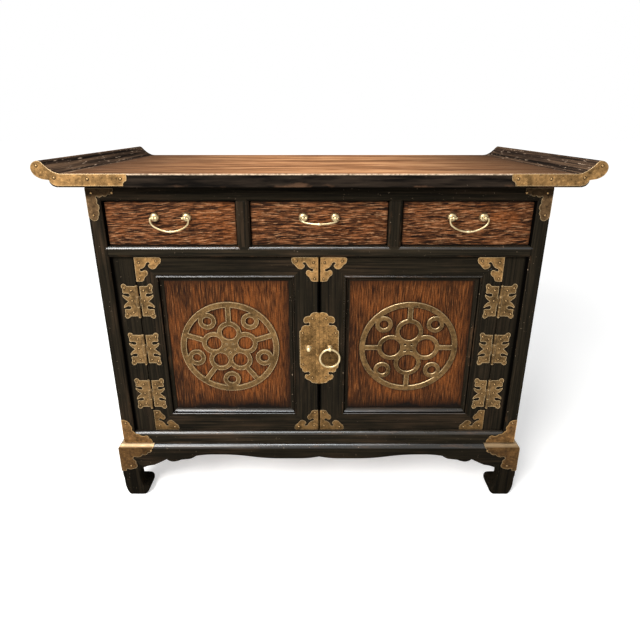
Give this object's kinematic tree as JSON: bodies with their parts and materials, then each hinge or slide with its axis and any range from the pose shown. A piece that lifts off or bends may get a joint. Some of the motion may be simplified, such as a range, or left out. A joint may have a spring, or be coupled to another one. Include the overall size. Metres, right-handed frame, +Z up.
{
  "type": "sideboard",
  "caption": "Low wooden sideboard with upswept top ends, drawers over panelled hinged doors, brass mounts and bail pulls, on bracket feet with a cusped apron; for storage and display.",
  "frame": {"origin": "on the floor, under the middle of the top's width and depth", "axes": "+X to the right along the front, +Y from the front to the back, +Z up"},
  "size_m": [1.0748, 0.5216, 0.7815],
  "materials": {
    "ebonized_wood": "semi-gloss black-brown lacquer with worn brown edges",
    "top_wood": "rubbed brown lacquer with straight grain",
    "panel_wood": "satin orange-brown lacquer with upright grain",
    "drawer_wood": "satin reddish-brown lacquer with coarse wavy grain",
    "plain_wood": "unfinished brown wood",
    "aged_brass": "aged golden-brown brass, dull",
    "bright_brass": "pale polished brass"
  },
  "bodies": {
    "cabinet": {"front_left_post": "ebonized_wood", "front_right_post": "ebonized_wood", "back_left_post": "ebonized_wood", "back_right_post": "ebonized_wood", "front_top_rail": "ebonized_wood", "drawer_rail": "ebonized_wood", "front_bottom_rail": "ebonized_wood", "drawer_dividers": "ebonized_wood", "hinge_stiles": "ebonized_wood", "side_rails": "ebonized_wood", "side_panels": "ebonized_wood", "back_rails": "ebonized_wood", "front_apron": "ebonized_wood", "back_apron": "ebonized_wood", "side_aprons": "ebonized_wood", "front_legs": "ebonized_wood", "back_legs": "ebonized_wood", "left_scroll_end": "ebonized_wood", "right_scroll_end": "ebonized_wood", "top_board": "top_wood", "back_panel": "plain_wood", "bottom_board": "plain_wood", "drawer_deck": "plain_wood", "board_bearers": "plain_wood", "drawer_guides": "plain_wood", "top_corner_plates": "aged_brass", "post_corner_plates": "aged_brass", "leg_corner_plates": "aged_brass", "frame_hinge_leaves": "aged_brass", "hinge_pins": "aged_brass"},
    "left_door": {"left_door_stiles": "ebonized_wood", "left_door_rails": "ebonized_wood", "left_door_panel": "panel_wood", "left_medallion": "aged_brass", "left_door_corner_plates": "aged_brass", "left_door_hinge_leaves": "aged_brass", "left_lock_plate": "aged_brass"},
    "right_door": {"right_door_stiles": "ebonized_wood", "right_door_rails": "ebonized_wood", "right_door_panel": "panel_wood", "right_medallion": "aged_brass", "right_door_corner_plates": "aged_brass", "right_door_hinge_leaves": "aged_brass", "right_lock_plate": "aged_brass"},
    "pull_ring": {"pull_ring": "bright_brass"},
    "left_drawer": {"left_drawer_front": "drawer_wood", "left_drawer_box": "plain_wood", "left_drawer_pull_posts": "bright_brass"},
    "left_bail": {"left_bail": "bright_brass"},
    "middle_drawer": {"middle_drawer_front": "drawer_wood", "middle_drawer_box": "plain_wood", "middle_drawer_pull_posts": "bright_brass"},
    "middle_bail": {"middle_bail": "bright_brass"},
    "right_drawer": {"right_drawer_front": "drawer_wood", "right_drawer_box": "plain_wood", "right_drawer_pull_posts": "bright_brass"},
    "right_bail": {"right_bail": "bright_brass"}
  },
  "joints": [
    {"name": "left_door_hinge", "type": "hinge", "parent": "cabinet", "child": "left_door", "pos_m": [-0.38, -0.2285, 0.378], "axis": [0, 0, -1], "range_deg": [0, 170]},
    {"name": "right_door_hinge", "type": "hinge", "parent": "cabinet", "child": "right_door", "pos_m": [0.38, -0.2285, 0.378], "axis": [0, 0, 1], "range_deg": [0, 170]},
    {"name": "pull_ring_swing", "type": "hinge", "parent": "right_door", "child": "pull_ring", "pos_m": [0.023, -0.2347, 0.381], "axis": [-1, 0, 0], "range_deg": [-6, 165]},
    {"name": "left_drawer_slide", "type": "slide", "parent": "cabinet", "child": "left_drawer", "axis": [0, -1, 0], "range_m": [0, 0.32]},
    {"name": "left_bail_swing", "type": "hinge", "parent": "left_drawer", "child": "left_bail", "pos_m": [-0.29475, -0.2375, 0.6695], "axis": [-1, 0, 0], "range_deg": [-19, 158]},
    {"name": "middle_drawer_slide", "type": "slide", "parent": "cabinet", "child": "middle_drawer", "axis": [0, -1, 0], "range_m": [0, 0.32]},
    {"name": "middle_bail_swing", "type": "hinge", "parent": "middle_drawer", "child": "middle_bail", "pos_m": [0, -0.2375, 0.6695], "axis": [-1, 0, 0], "range_deg": [-95, 82]},
    {"name": "right_drawer_slide", "type": "slide", "parent": "cabinet", "child": "right_drawer", "axis": [0, -1, 0], "range_m": [0, 0.32]},
    {"name": "right_bail_swing", "type": "hinge", "parent": "right_drawer", "child": "right_bail", "pos_m": [0.29475, -0.2375, 0.6695], "axis": [-1, 0, 0], "range_deg": [-19, 158]}
  ]
}
